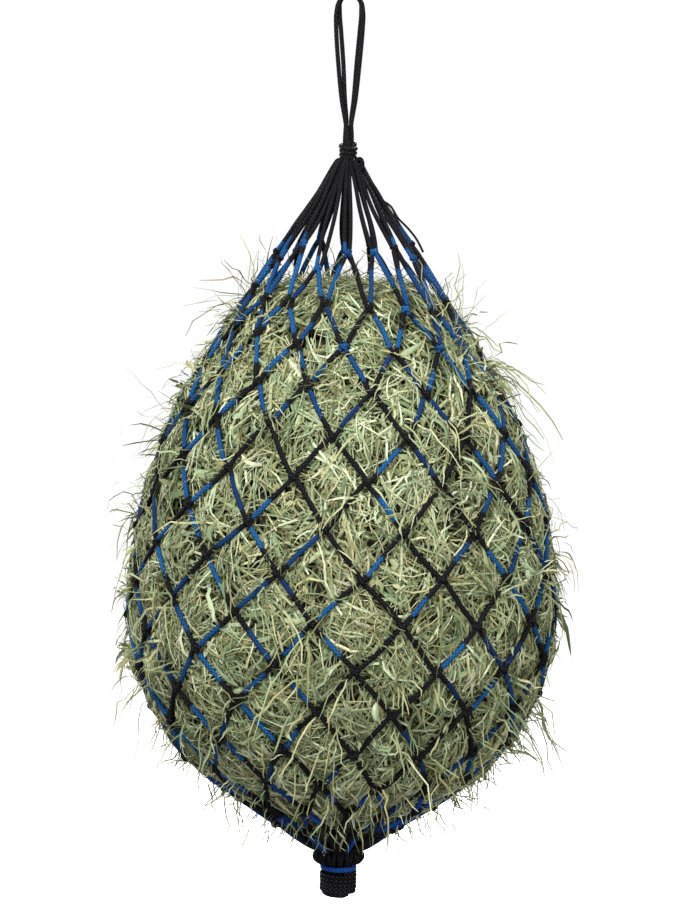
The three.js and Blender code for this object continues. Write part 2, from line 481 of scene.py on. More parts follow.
# ------------ net twine
# A netting knot in the knot's own frame (mm): right, up, out. The bight of the upper course goes
# down and back up. The twine of the lower course comes up through it, round behind it and under
# itself.
BIGHT = np.array([[-3.4, 3.4, 0.2], [-2.7, 0.6, 0.8], [-1.7, -1.7, 0.6], [0, -2.7, 0.2],
                  [1.7, -1.8, -0.3], [2.7, 0.4, 0.1], [3.4, 3.2, 0.2]])
WRAP = np.array([[-3.2, -3.4, -0.4], [-1.5, -1.2, 0.9], [0.3, 0.9, 2.5], [2.7, 2.1, 2.2],
                 [3.9, 1.9, 0], [2.3, 2.0, -2.1], [-2.3, 2.0, -2.1], [-3.9, 1.5, 0.2],
                 [-2.2, 0.1, 2.5], [0.5, -1.2, 2.9], [2.3, -2.5, 1.2], [3.4, -3.8, -0.2]])
LEG_STEPS = (0.1, 0.26, 0.42, 0.58, 0.74, 0.9)
LEG_SLACK = 0.9  # spread of the slack sideways
LEG_LIFT = 0.6
KNOT_LIFT = 1.8
KNOT_SQUEEZE = 0.86  # thickness of the twine in a knot
FIRST_KNOT_WANDER = 0.17  # how far the knots below the neck stand from one level, in rows

rng = np.random.default_rng(41)
knot_shift = rng.normal(0, 1, (LAST_ROW + 1, COLUMNS, 5))


def knot_place(row, column):
    """A knot's row and angle. The rows are tidy at the ends and wander a little between."""
    column = column % COLUMNS
    shift = knot_shift[row, column]
    wander = np.interp(row, [0, 1, 3, 6, 11, 15, 16], [0, 0.5, 1.2, 0.7, 0.6, 0.4, 0])
    angle = first_angle(row) + (column + (row % 2) / 2) * TAU / COLUMNS
    radius = on_profile(row, 0)[0]
    uneven = 0.05 * wander * shift[0]
    if row == 1:
        uneven = FIRST_KNOT_WANDER * float(np.clip(shift[0] + 0.3, -1, 1.6))
    return row + uneven, angle + 2.3 * wander * shift[1] / max(radius, 60)


def knot_points(shape, row, column):
    """The points of a knot's bight or wrap, turned and sized a little differently in each knot."""
    k_row, k_angle = knot_place(row, column)
    shift = knot_shift[row, column % COLUMNS]
    east, up, out = surface_frame(k_row, k_angle)
    turn = 0.16 * shift[2]
    size = np.interp(row, [1, 4], [0.62, 0.93]) * (1.0 + 0.07 * shift[3])
    x = shape[:, 0] * math.cos(turn) - shape[:, 1] * math.sin(turn)
    y = shape[:, 0] * math.sin(turn) + shape[:, 1] * math.cos(turn)
    local = x[:, None] * east + y[:, None] * up + shape[:, 2:] * out
    return on_net(k_row, k_angle, KNOT_LIFT) + size * local


def leg_points(start, end, bow, outwards):
    """Points between two knots, on the chord, with a little slack sideways and inwards."""
    t = np.array(LEG_STEPS)[:, None]
    chord = end - start
    middle = (start + end) / 2
    out = unit(np.array([middle[0], middle[1], 0.0]))
    side = unit(np.cross(chord, out))
    slack = np.sin(math.pi * t)
    ripple = 0.35 * np.sin(TAU * 1.6 * t + 3 * bow)
    return start + t * chord + slack * ((bow + ripple) * side + outwards * out)


def leg_dye(t, falling, side, top, draw):
    """Blue share along a leg, t from its upper end. More legs are blue at the sides and the top."""
    chance, start, length = draw
    if chance > (0.57 if falling else 0.55) + 0.32 * side + 0.30 * top:
        return np.zeros(np.shape(t))
    start = -0.05 + 0.35 * start ** 2 if falling else 0.02 + 0.5 * start
    length = 0.32 + 0.44 * length + 0.30 * side + 0.2 * top
    return np.clip((t - start) / 0.08, 0, 1) * np.clip((start + length - t) / 0.08, 0, 1)


def add_course(tube, row):
    """One closed course of twine: wrapped at the knots above, a bight in the knots below."""
    points, dyes, depths, thick = [], [], [], []
    for column in range(COLUMNS):
        upper = knot_points(WRAP, row, column)
        lower = knot_points(BIGHT, row + 1, column + row % 2)
        following = knot_points(WRAP, row, column + 1)
        down = leg_points(upper[-1], lower[0], rng.normal(0, LEG_SLACK), LEG_LIFT)
        rise = leg_points(lower[-1], following[0], rng.normal(0, LEG_SLACK), LEG_LIFT)
        t = np.array(LEG_STEPS)
        fine = rng.uniform(0, 1, 7)
        side = abs(math.sin(knot_place(row, column)[1]))
        top = max(0, (5 - row) / 4)
        knot_dye = float(fine[6] < 0.45 * top)
        for group, dye, r in (
            (upper, np.full(len(upper), knot_dye), KNOT_SQUEEZE),
            (down, leg_dye(t, True, side, top, fine[:3]), 1.0),
            (lower, np.zeros(len(lower)), KNOT_SQUEEZE),
            (rise, leg_dye(1 - t, False, side, top, fine[3:6]), 1.0),
        ):
            points.append(group)
            dyes.append(dye)
            thick.append(np.full(len(group), r))
            depths.append(np.full(len(group), rng.uniform() ** 0.7))
    points = np.concatenate(points)
    line, place = smooth_route(points, 4, closed=True)
    keys = np.arange(len(points) + 1)
    thick, dye, depth = (np.interp(place, keys, np.append(v, v[0]))
                         for v in (np.concatenate(parts) for parts in (thick, dyes, depths)))
    tube.add(line, TWINE_R * thick, closed=True, dye=dye, depth=depth)


FIRST_FOOT_ROW = 13  # from here down the blue is deeper
for row in range(1, LAST_ROW - 1):
    tube = Tubes(8)
    add_course(tube, row)
    node = f"net_course_{row + 1:02d}"
    material = foot_mat if row >= FIRST_FOOT_ROW else twine_mat
    tube.build(f"twine_course_{row + 1:02d}", material, "net", nodes=[node])


def open_cord(tube, points, radius, steps=4, dye=0.0, depth=0.5):
    line, place = smooth_route(points, steps)
    keys = np.arange(len(points))
    radius, dye, depth = (
        np.interp(place, keys, np.broadcast_to(np.asarray(v, float), len(points)))
        for v in (radius, dye, depth))
    tube.add(line, radius, dye=dye, depth=depth)


# The neck course: each bight's two legs run up and go over the drawn ring.
NECK_HOLLOW = 1.4
NECK_BLUE = 0.55  # the chance that a leg is blue beside its bight
tube = Tubes(8)
for column in range(COLUMNS):
    bight = knot_points(BIGHT, 1, column)
    knot_angle = knot_place(1, column)[1]
    legs = []
    for side in (-1, 1):
        layer = (column + (side > 0)) % 2
        ring_angle = knot_angle + side * 0.5 * math.pi / COLUMNS + rng.normal(0, 0.026)
        wobble = rng.normal(0, 1, 3)
        start = bight[0] if side < 0 else bight[-1]
        r_top = 7.4 + 3.0 * layer
        leg = [polar_front(r, ring_angle, z)
               for r, z in ((4.6, -163.4 + layer), (r_top, -164.4 + layer),
                            (r_top + 3.4, -169.4 + 1.6 * layer))]
        end_angle = math.atan2(start[0], -start[1])
        end_angle = ring_angle + math.remainder(end_angle - ring_angle, TAU)
        for t, w in ((0.13, 0.5), (0.3, 0.9), (0.5, 1.0), (0.7, 0.9), (0.85, 0.6), (0.95, 0.3)):
            angle = ring_angle + (end_angle - ring_angle) * (t ** 2.6) + 0.02 * w * wobble[0]
            r0, z0 = 12.4 + 2.4 * layer, -170.0
            r1, z1 = math.hypot(start[0], start[1]), start[2]
            r = r0 + (r1 - r0) * t - NECK_HOLLOW * math.sin(math.pi * t) + 0.8 * w * wobble[1]
            r += 0.7 * w * math.sin(9 * t + 2 * wobble[2])
            leg.append(polar_front(r, angle, z0 + (z1 - z0) * t))
        leg.append(start)
        legs.append(np.array(leg))
    path = np.concatenate([legs[0], bight[1:-1], legs[1][::-1]])
    fine = rng.uniform(0, 1, 4)
    dye = np.zeros(len(path))
    dye[8:10] = fine[0] < NECK_BLUE
    dye[-10:-8] = fine[1] < NECK_BLUE
    dye[7] = dye[8] * (fine[3] < 0.5)
    n = len(path)
    thick = TWINE_R * np.interp(np.arange(n), [0, 8, n / 2, n - 9, n],
                                [0.74, 0.84, 0.84, 0.84, 0.74])
    open_cord(tube, path, thick, 4, dye, 0.3 + 0.7 * fine[2])
tube.build("twine_neck_course", twine_mat, "net", nodes=["neck_course"])

# The closing course: from the last knots in to the bottom ring, each leg taken round the ring.
RING_WRAP_R = 6.0
CLOSING_BLUE = 0.5
WRAP_Z = RING_Z - 2.8
tube = Tubes(8)
for column in range(COLUMNS):
    wrap = knot_points(WRAP, LAST_ROW - 1, column)
    knot_angle = knot_place(LAST_ROW - 1, column)[1]
    legs = []
    for side in (-1, 1):
        a = knot_angle + side * 0.10 + rng.normal(0, 0.02)
        turns = []
        for step in range(9):
            around = math.radians(60 - 40 * step)
            turns.append(polar_front(RING_RADIUS + RING_WRAP_R * math.cos(around),
                                     a + side * 0.03 * step,
                                     WRAP_Z + RING_WRAP_R * math.sin(around)))
        start = wrap[0] if side < 0 else wrap[-1]
        on_way = [start + (turns[0] - start) * t + np.array([0, 0, -1.5 * math.sin(math.pi * t)])
                  for t in (0.35, 0.7)]
        legs.append(np.array(turns[::-1] + on_way[::-1]))
    path = np.concatenate([legs[0], wrap, legs[1][::-1]])
    fine = rng.uniform(0, 1, 3)
    dye = np.zeros(len(path))
    dye[9:11] = fine[0] < CLOSING_BLUE
    dye[-11:-9] = fine[1] < CLOSING_BLUE
    open_cord(tube, path, TWINE_R * 0.95, 4, dye, 0.5 + 0.5 * fine[2])
closing = tube.build("twine_closing_course", foot_mat, nodes=["bottom_course"])
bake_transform(closing)

# ------------ throat, coil knot and drawn ring
tube = Tubes(12)
for x, y in ((1, 1), (1, -1), (-1, 1), (-1, -1)):
    line = []
    for z in np.linspace(-127, -158, 9):
        turn = math.radians(-2.4 * (z + 127))
        px, py = STRAND_OFFSET * x, STRAND_OFFSET * y
        line.append([px * math.cos(turn) - py * math.sin(turn),
                     px * math.sin(turn) + py * math.cos(turn), z])
    open_cord(tube, np.array(line), STRAND_R)
throat = tube.build("throat_strands", drawcord_mat, slot="drawcord", nodes=["strand_bundle"])
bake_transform(throat)


def winding(count, turns, start, top, bottom, dip, radius):
    """Points of a cord wound downwards. The radius depends on the share done and the angle."""
    points = []
    for i in range(count):
        t = i / (count - 1)
        angle = t * turns * TAU + start
        z = top + (bottom - top) * t + dip * math.sin(angle)
        points.append(polar(radius(t, angle), angle, z))
    return points


def wound_cord(name, points, radius, material, body, slot, node, steps=3, blue=0.0):
    tube = Tubes(10)
    open_cord(tube, np.array(points), radius, steps, blue, max(0.5, blue))
    tube.build(name, material, body, slot, [node])


def hoop(name, count, radius, point, body, slot, node):
    """A closed drawcord of this radius through point(angle)."""
    points = np.array([point(a) for a in np.linspace(0, TAU, count, endpoint=False)])
    tube = Tubes(10)
    tube.add(smooth_route(points, 3, closed=True)[0], radius, closed=True)
    return tube.build(name, drawcord_mat, body, slot, [node])


coil = winding(60, 4.1, 0.6, -147.8, -165.4, 0.9,
               lambda t, angle: 6.9 + 0.5 * math.sin(3 * angle) + (0.5 if t < 0.25 else 0))
lobe = [[7.8, -6.4, -163.4], [11.6, -8.0, -161.2], [13.8, -8.6, -163.6], [14.2, -9.0, -168.4],
        [12.2, -9.0, -172.0], [8.0, -8.0, -171.0]]
start_tuck = [[2.0, -2.0, -152.0], [4.6, -0.5, -149.5]]
COIL_CORD_R = 2.15
wound_cord("coil_knot", start_tuck + coil + lobe, COIL_CORD_R, drawcord_mat, "net", "drawcord",
           "neck_wrap", 4)

DRAWN_RING_R, DRAWN_RING_Z = 10.0, -168.6
hoop("drawn_ring", 24, STRAND_R,
     lambda a: polar(DRAWN_RING_R + 0.4 * math.sin(5 * a), a, DRAWN_RING_Z + 0.5 * math.sin(2 * a)),
     "net", "drawcord", "draw_ring")

# ------------ bottom ring and whipped stub
RING_CORD_R = 3.4
ring_cord = hoop("bottom_ring_cord", 32, RING_CORD_R,
                 lambda a: polar(RING_RADIUS, a, WRAP_Z + 0.5 * math.sin(3 * a)),
                 None, "net_twine", "bottom_ring")
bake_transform(ring_cord)

STUB_TOP, STUB_BOTTOM = -873.0, -902.8
FRONT_DIP = 1.6  # how far the whipping hangs lower at the front than at its middle
END_R = 2.55
ends = [(0.0, 0.0)]
for count, radius in ((6, 5.3), (12, 10.6)):
    ends += [polar(radius, TAU * (i + 0.3) / count, 0)[:2] for i in range(count)]
tube = Tubes(10)
for x, y in ends:
    reach = 0.5 if math.hypot(x, y) > 6 else 1.0
    lean = rng.normal(0, 0.35, 2)
    line = [[x * 0.95 + lean[0], y * 0.95 + lean[1], RING_Z + 14 + rng.uniform(-2, 1)],
            [x * 0.75, y * 0.75, RING_Z + 8],
            [x * 0.55 * reach, y * 0.55 * reach, RING_Z],
            [x * 1.2, y * 1.2, STUB_TOP + 4],
            [x * 1.12, y * 1.12, STUB_TOP - 1],
            [x + lean[0], y + lean[1], STUB_TOP - 10],
            [x + lean[1], y - lean[0], STUB_BOTTOM + 9],
            [x * 0.80, y * 0.80, STUB_BOTTOM + rng.uniform(-1.0, 1.2)]]
    open_cord(tube, np.array(line), END_R, 4)
stub = tube.build("stub_cord_ends", twine_mat, slot="drawcord", nodes=["tail_core"])
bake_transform(stub)

WHIP_RADIUS = 16.9
WHIP_TURNS, WHIP_START = 6.0, -1.2
ROUNDING_FROM = 0.76  # the share of the whipping below which it draws in
WHIP_CORD_R = 1.9
BLUE_TURN_RADIUS = 16.7
BLUE_CORD_R = 1.75


def whip_radius(t, angle):
    drawn_in = max(0, (t - ROUNDING_FROM) / (1 - ROUNDING_FROM))
    return WHIP_RADIUS - 3.6 * drawn_in ** 2 + 0.15 * math.sin(2.3 * angle)


whip = winding(96, WHIP_TURNS, WHIP_START, -877.9, -900.8, FRONT_DIP, whip_radius)
last_angle = WHIP_TURNS * TAU + WHIP_START
whip += [polar(11.6, last_angle + 0.35, -901.6), polar(9.0, last_angle + 0.6, -899.0)]
wound_cord("stub_whipping", whip, WHIP_CORD_R, whipping_mat, "tail", "drawcord", "tail_whipping")

blue_turn = winding(56, 1.9, 0.9, -872.0, -875.0, FRONT_DIP, lambda t, angle: BLUE_TURN_RADIUS)
wound_cord("stub_blue_turn", blue_turn, BLUE_CORD_R, blue_mat, "tail", "blue_twine",
           "tail_blue_turn", blue=1.0)

# ------------ hay
HAY_TOP_ROW = 1.95
HAY_BOTTOM_ROW = 15.75
LAST_STRAW_ROW = 15.45
REACH_LIMIT = 238.0
FREE_REACH = 222.0
BULGE = 11.0  # how far the hay stands out in the middle of a mesh
LUMPS = 0.7
UNDER_CORDS = 3.2  # how far the hay stays below the cords
LEAST_RADIUS = 28.0
rng = np.random.default_rng(7)


def radius_at(row):
    """The net's radius, but never so small that a blade would wind round it."""
    return np.maximum(on_profile(row, 0)[0], LEAST_RADIUS)


def from_cords(row, angle):
    """0 on the two sets of cords and 1 midway between them, for each set."""
    column = (angle - first_angle(row)) / (TAU / COLUMNS)
    return (np.abs(np.sin(math.pi * (column + row / 2))),
            np.abs(np.sin(math.pi * (column - row / 2))))


def hay_level(row, angle):
    """How far the hay's surface stands out from the net, in mm."""
    spread = np.interp(row, [1.9, 2.6, 4, 12.8, 14, 15], [0.2, 0.7, 1, 1, 0.5, 0.0])
    lumps = (np.sin(3 * angle + 1.3 * row) + np.sin(5 * angle - 2.1 * row + 1)
             + np.sin(9 * angle + 0.7 * row))
    a, b = from_cords(row, angle)
    sunk = np.interp(row, [13.5, 15], [7.5, 11.0])
    return -sunk + spread * (BULGE * np.sqrt(a * b) + LUMPS * lumps)


def hay_material(name, leafy):
    """Dry grass: each blade's colour from its attributes, its own tone darkened as painted shade
    where it lies deep or near the foot, with fibres along it.
    """
    n = Nodes(name)
    tone = n.attribute("tone")
    dry = n.attribute("dry")
    green = n.ramp(tone, [(0.0, (0.008, 0.012, 0.004)), (0.25, (0.050, 0.072, 0.029)),
                          (0.55, (0.142, 0.206, 0.102)), (0.8, (0.272, 0.354, 0.204)),
                          (1.0, (0.470, 0.556, 0.378))])
    straw = n.ramp(tone, [(0.0, (0.030, 0.022, 0.007)), (0.3, (0.170, 0.142, 0.050)),
                          (0.65, (0.385, 0.360, 0.170)), (1.0, (0.620, 0.600, 0.390))])
    color = n.mix(dry, green, straw)
    scale = (9.0, 0.35, 1.0) if leafy else (4.0, 0.3, 1.0)
    fibres = n.noise(1.0, 3, n.stretched(n.add("UVMap", uv_map="Blade").outputs[0], scale), 0.6)
    color = n.mix(n.ramp(fibres, [(0.36, (1, 1, 1)), (0.62, (0, 0, 0))]), color,
                  n.mix(0.42, color, (0.060, 0.062, 0.022)))
    spots = n.ramp(n.noise(140, 3), [(0.60, (0, 0, 0)), (0.75, (0.55, 0.55, 0.55))])
    return n.surface(n.mix(spots, color, (0.190, 0.130, 0.055)), 0.62, 0.15)


leaf_mat = hay_material("hay_leaves", True)
stem_mat = hay_material("hay_stems", False)


def place_on_hay(count, low=HAY_TOP_ROW, high=LAST_STRAW_ROW):
    """Random rows and angles, even over the surface's area."""
    table = np.linspace(low, high, 400)
    r, z = on_profile(table, 0)
    area = r[:-1] * np.hypot(np.diff(r), np.diff(z))
    share = np.concatenate([[0], np.cumsum(area)])
    row = np.interp(rng.uniform(0, share[-1], count), share, table)
    return row, rng.uniform(0, TAU, count)


def within_reach(points):
    """The same points, drawn in where they stand out further than loose hay reaches."""
    flat = np.hypot(points[..., 0], points[..., 1])
    room = REACH_LIMIT - FREE_REACH
    squeezed = FREE_REACH + room * (1 - np.exp(-np.maximum(flat - FREE_REACH, 0) / room))
    points[..., :2] *= np.where(flat > FREE_REACH, squeezed / np.maximum(flat, 1), 1.0)[..., None]
    return points


def hay_lines(row, angle, heading, length, lift, rise, bend, steps, conform=1.0):
    """Centrelines on the hay's surface, heading from level. Rise lifts one end off it."""
    rise, curl = rng.normal(0, rise, (2, len(row)))
    bend = rng.normal(0, bend, len(row))
    t = np.linspace(-0.5, 0.5, steps)[None, :]
    s = t * length[:, None]
    turn = heading[:, None] + bend[:, None] * t
    radius = radius_at(row)[:, None]
    d_angle = s * np.cos(turn) / radius
    d_row = -s * np.sin(turn) / ROW_STEP
    rows = np.clip(row[:, None] + d_row, 1.6, 15.9)
    angles = angle[:, None] + d_angle
    level = conform * hay_level(rows, angles) + (1 - conform) * hay_level(row, angle)[:, None]
    out = t + 0.5
    ends_up = rise[:, None] * out + curl[:, None] * out * out
    height = level + lift[:, None] + length[:, None] * ends_up
    height = np.minimum(height, -UNDER_CORDS + 15 * np.minimum(*from_cords(rows, angles)))
    return within_reach(on_net(rows, angles, height))


def outward_at(points):
    """Away from the middle of the hay."""
    middle = np.array([0, 0, -585.0])
    return unit((points - middle) * np.array([1, 1, 0.45]))


class Blades:
    """Flat leaves and thin stems as one mesh."""

    def __init__(self):
        self.verts, self.faces, self.uv, self.tone, self.dry, self.count = [], [], [], [], [], 0

    @staticmethod
    def directions(lines):
        """Along each line, to its side and away from the hay."""
        tangent = unit(np.gradient(lines, axis=1))
        side = unit(np.cross(tangent, outward_at(lines)))
        return tangent, side, np.cross(side, tangent)

    def leaves(self, lines, width, shape, roll, twist, tone, dry, fold=0.0):
        """Ribbons: shape is the share of the width at each point along, roll and twist spreads."""
        n, k = lines.shape[:2]
        width = rng.uniform(*width, n)
        roll, twist = rng.normal(0, roll, (n, 1)), rng.normal(0, twist, (n, 1))
        tangent, side, lifted = self.directions(lines)
        a = (roll + twist * np.linspace(-0.5, 0.5, k)[None])[..., None]
        across = np.cos(a) * side + np.sin(a) * lifted
        half = 0.5 * width[:, None, None] * shape[None, :, None]
        columns = [lines - across * half, lines + across * half]
        if fold:
            crease = (fold * rng.uniform(-1, 1, n))[:, None, None]
            columns.insert(1, lines + np.cross(across, tangent) * half * crease)
        self._take(columns, lines, tone, dry)

    def stems(self, lines, width, tone, dry):
        """Three-sided straws that taper, open at their ends."""
        n, k = lines.shape[:2]
        _, side, lifted = self.directions(lines)
        half = 0.5 * rng.uniform(*width, (n, 1, 1)) * np.linspace(1.0, 0.55, k)[None, :, None]
        columns = [lines + half * (math.cos(a) * side + math.sin(a) * lifted)
                   for a in (0, TAU / 3, 2 * TAU / 3)]
        self._take(columns, lines, tone, dry, closed=True)

    def _take(self, columns, lines, tone, dry, closed=False):
        """Columns of points along the lines, joined by faces, and back to the first if closed."""
        n, k = lines.shape[:2]
        wide = len(columns)
        start = self.count + np.arange(n)[:, None, None] * (wide * k)
        self.verts.append(np.stack(columns, 2).reshape(-1, 3))
        self.faces.append((start + grid_faces(k, wide, closed=closed)).reshape(-1, 4))
        steps = np.linalg.norm(np.diff(lines, axis=1), axis=2)
        along = np.concatenate([np.zeros((n, 1)), np.cumsum(steps, 1)], 1)
        v = along[:, :, None] + rng.uniform(0, 900, n)[:, None, None]
        u = np.arange(wide) / (wide - 1.0) + rng.uniform(0, 50, n)[:, None, None]
        self.uv.append(np.stack(np.broadcast_arrays(u, v), -1).reshape(-1, 2))
        self.tone.append(np.repeat(tone, k * wide))
        self.dry.append(np.repeat(dry, k * wide))
        self.count += n * k * wide

    def build(self, name, material, nodes=()):
        obj = new_object(name, np.concatenate(self.verts), np.concatenate(self.faces))
        uv_layer(obj.data, "Blade", np.concatenate(self.uv)[corner_vertices(obj.data)])
        point_attribute(obj, "tone", np.concatenate(self.tone))
        point_attribute(obj, "dry", np.concatenate(self.dry))
        return dress(obj, material, "net", nodes)


LEAF = np.array([0.55, 1.0, 0.95, 0.7, 0.12])
BLADE = np.array([0.8, 1.0, 0.85, 0.15])
FLAKE = np.array([0.35, 1.0, 0.3])
FIBRE = np.array([0.9, 1, 1, 0.9, 0.5])


def shades(count, mean, spread, dry_share):
    tone = np.clip(rng.normal(mean, spread, count), 0, 1)
    dry = np.clip(rng.normal(0.22, 0.18, count), 0, 1)
    straw = rng.uniform(0, 1, count) < dry_share
    return tone, np.where(straw, rng.uniform(0.65, 1.0, count), dry)


def headings(count, upright=0.55):
    """Which way each blade runs: any way, with more of them steep than level."""
    steep = rng.normal(math.pi / 2, 0.7, count)
    return np.where(rng.uniform(0, 1, count) < upright, steep, rng.uniform(0, TAU, count)) \
        + math.pi * (rng.uniform(0, 1, count) < 0.5)


def in_tufts(count, per, spread=7.0, low=HAY_TOP_ROW):
    """Places and headings of blades that lie in small tufts, and each tuft's shade and dryness."""
    tufts = -(-count // per)
    row, angle = place_on_hay(tufts, low)
    heading = headings(tufts)
    patch = np.sin(2 * angle + 0.9 * row + 1.0) + np.sin(3 * angle - 0.7 * row)
    # Painted shade: tufts near the foot of the net are a little darker.
    tone = rng.normal(0, 0.09, tufts) + np.interp(row, [13.4, 15], [0, -0.06])
    dry = rng.normal(0, 0.14, tufts) + 0.07 * patch
    row, angle, heading, tone, dry = (np.repeat(v, per)[:count]
                                      for v in (row, angle, heading, tone, dry))
    row = np.clip(row + rng.normal(0, spread, count) / ROW_STEP, HAY_TOP_ROW, LAST_STRAW_ROW)
    angle = angle + rng.normal(0, spread, count) / radius_at(row)
    heading = heading + rng.normal(0, 0.36, count) + math.pi * (rng.uniform(0, 1, count) < 0.5)
    return row, angle, heading, tone, dry


def lay_leaves(blades, count, per, width, length, depth, mean, dry_share, shape, rise, steps,
               fold=0.0, low=HAY_TOP_ROW):
    row, angle, heading, own_tone, own_dry = in_tufts(count, per, low=low)
    tone, dry = shades(count, mean, 0.18, dry_share)
    size = rng.uniform(*length, count)
    lift = rng.uniform(*depth, count)
    # Painted shade: blades that lie deeper in the hay get a darker tone.
    tone = np.clip(tone + own_tone + 0.042 * (lift + 4), 0, 1)
    lines = hay_lines(row, angle, heading, size, lift, rise, 0.55, steps)
    blades.leaves(lines, width, shape, 0.5, 0.7, tone, np.clip(dry + own_dry, 0, 1), fold)


# The mat: broad leaves and thin blades, deepest first
for part in range(3):
    blades = Blades()
    lay_leaves(blades, 1900, 8, (3.2, 7.2), (18, 38), (-15, 1.0), 0.48, 0.12, LEAF, 0.10, 5, 1.3)
    lay_leaves(blades, 7800, 14, (1.5, 3.3), (20, 52), (-14, 2.5), 0.54, 0.16, BLADE, 0.10, 4, 0.8)
    lay_leaves(blades, 1300, 6, (3.0, 6.0), (7, 17), (-9, 2), 0.46, 0.24, FLAKE, 0.14, 3)
    blades.build(f"hay_mat_{part + 1}", leaf_mat, ["hay_fill"] if part == 0 else ())

# Fine fibres and stems on top
blades = Blades()
count = 4600
row, angle, heading, own_tone, _ = in_tufts(count, 9, 9.0)
tone, dry = shades(count, 0.66, 0.18, 0.28)
lines = hay_lines(row, angle, heading, rng.uniform(16, 58, count), rng.uniform(-4, 4.0, count),
                  0.08, 0.8, 5)
blades.leaves(lines, (0.8, 1.5), FIBRE, 0.5, 0.5, np.clip(tone + own_tone, 0, 1), dry)
count = 3000
row, angle, heading, _, _ = in_tufts(count, 4, 10.0)
tone, dry = shades(count, 0.72, 0.16, 0.40)
lines = hay_lines(row, angle, heading, rng.uniform(30, 90, count), rng.uniform(-4, 3.5, count),
                  0.05, 0.35, 5, conform=0.5)
blades.stems(lines, (1.0, 2.0), tone, dry)
blades.build("hay_stems_and_fibres", stem_mat)


def hanging_lines(row, angle, length, aside, upward, sag, steps):
    """Centrelines that leave the hay outwards and sideways, and bend down under their weight."""
    east, up, out = surface_frame(row, angle)
    base = on_net(row, angle, -5.0)
    start = unit(0.9 * out + aside[:, None] * east + upward[:, None] * up)
    t = np.linspace(0, 1, steps)[None, :, None]
    kink = np.interp(row, [10, 13], [0.042, 0.080])[:, None, None]
    crook = kink * np.cumsum(rng.normal(0, 1, (len(row), steps, 3)), 1) * np.minimum(1, 3 * t)
    fall = sag[:, None, None] * t * t * np.array([0, 0, 1.0])
    reach = length[:, None, None] * (t * start[:, None] + crook - fall)
    return within_reach(base[:, None] + reach)


LOWEST_TIP = -850.0


def add_wisps(blades, tufts, per, length, width, sag, last, first=2.2, mean=0.58, lean=-0.1):
    """Clumps of wisps that start from rows first to last and lean up by lean."""
    count = tufts * per
    row, angle = place_on_hay(tufts, first, last)
    aside, upward = rng.normal(0, 0.8, tufts), rng.normal(lean, 0.6, tufts)
    row, angle, aside, upward = (np.repeat(v, per) for v in (row, angle, aside, upward))
    row = np.clip(row + rng.normal(0, 0.12, count), 2.0, HAY_BOTTOM_ROW)
    angle = angle + rng.normal(0, 4.5, count) / radius_at(row)
    tone, dry = shades(count, mean, 0.17, 0.30)
    shorter = np.interp(row, [10.5, 13], [1.0, 0.55])
    lines = hanging_lines(row, angle, shorter * rng.uniform(*length, count),
                          aside + rng.normal(0, 0.4, count), upward + rng.normal(0, 0.35, count),
                          np.abs(rng.normal(sag, 0.2, count)), 7)
    lines[..., 2] = np.maximum(lines[..., 2], LOWEST_TIP + 0.3 * (lines[..., 2] - LOWEST_TIP))
    shape = (1, 1, 1, 1, 0.9, 0.8, 0.4) if width[0] < 2 else (0.4, 0.8, 1, 1, 1, 0.8, 0.15)
    blades.leaves(lines, width, np.array(shape), 0.8, 1.2, tone, dry)


# Wisps that stand out of the meshes and hang
blades = Blades()
for clumps in ((210, 6, (16, 42), (1.0, 1.9), 0.40, 13.6),
               (105, 6, (34, 76), (1.1, 2.1), 0.55, 13.0),
               (80, 3, (18, 40), (2.4, 4.4), 0.45, 13.0),
               (36, 3, (16, 36), (1.1, 2.4), 0.30, 14.8),
               (150, 1, (30, 66), (0.6, 0.9), 0.10, 9.0),
               (60, 4, (18, 44), (0.8, 1.7), 0.15, 4.2)):
    add_wisps(blades, *clumps)
blades.build("hay_wisps", leaf_mat)

# Straws pressed into the narrow meshes at the foot of the net
FOOT_ROW = 12.8
blades = Blades()
lay_leaves(blades, 1000, 6, (1.6, 3.6), (14, 36), (-6, 6), 0.43, 0.22, BLADE, 0.12, 4, 0.8,
           FOOT_ROW)
lay_leaves(blades, 800, 3, (0.9, 1.6), (24, 56), (-2, 8), 0.74, 0.35, BLADE, 0.10, 4, 0.0,
           FOOT_ROW)
blades.build("hay_foot", leaf_mat)

# The body of the hay under the blades, near-black as painted shade seen in the gaps between them
RINGS, AROUND = 150, 220
CORE_LAST_ROW = 15.1
CROWN_HOOPS = ((10, -293), (25, -293), (42, -293.5), (56, -294.5), (66, -296.0))
FOOT_HOOPS = ((48, -830), (40, -838), (32, -843.5), (24, -846.5), (12, -849))
t = np.linspace(0, 1, RINGS)
row = HAY_TOP_ROW + (CORE_LAST_ROW - HAY_TOP_ROW) * t
angle = np.arange(AROUND) * TAU / AROUND
grid_row, grid_angle = np.meshgrid(row, angle, indexing="ij")
rough = rng.normal(0, 0.9, grid_row.shape)
core_depth = np.interp(grid_row, [13.5, 14.8], [17.0, 6.0])
side = on_net(grid_row, grid_angle, hay_level(grid_row, grid_angle) - core_depth + rough)


def core_hoops(hoops, uneven):
    return np.stack([np.stack([r * np.sin(angle), -r * np.cos(angle),
                               z + rng.normal(0, 1.5, AROUND) if uneven else np.full(AROUND, z)],
                              -1) for r, z in hoops])


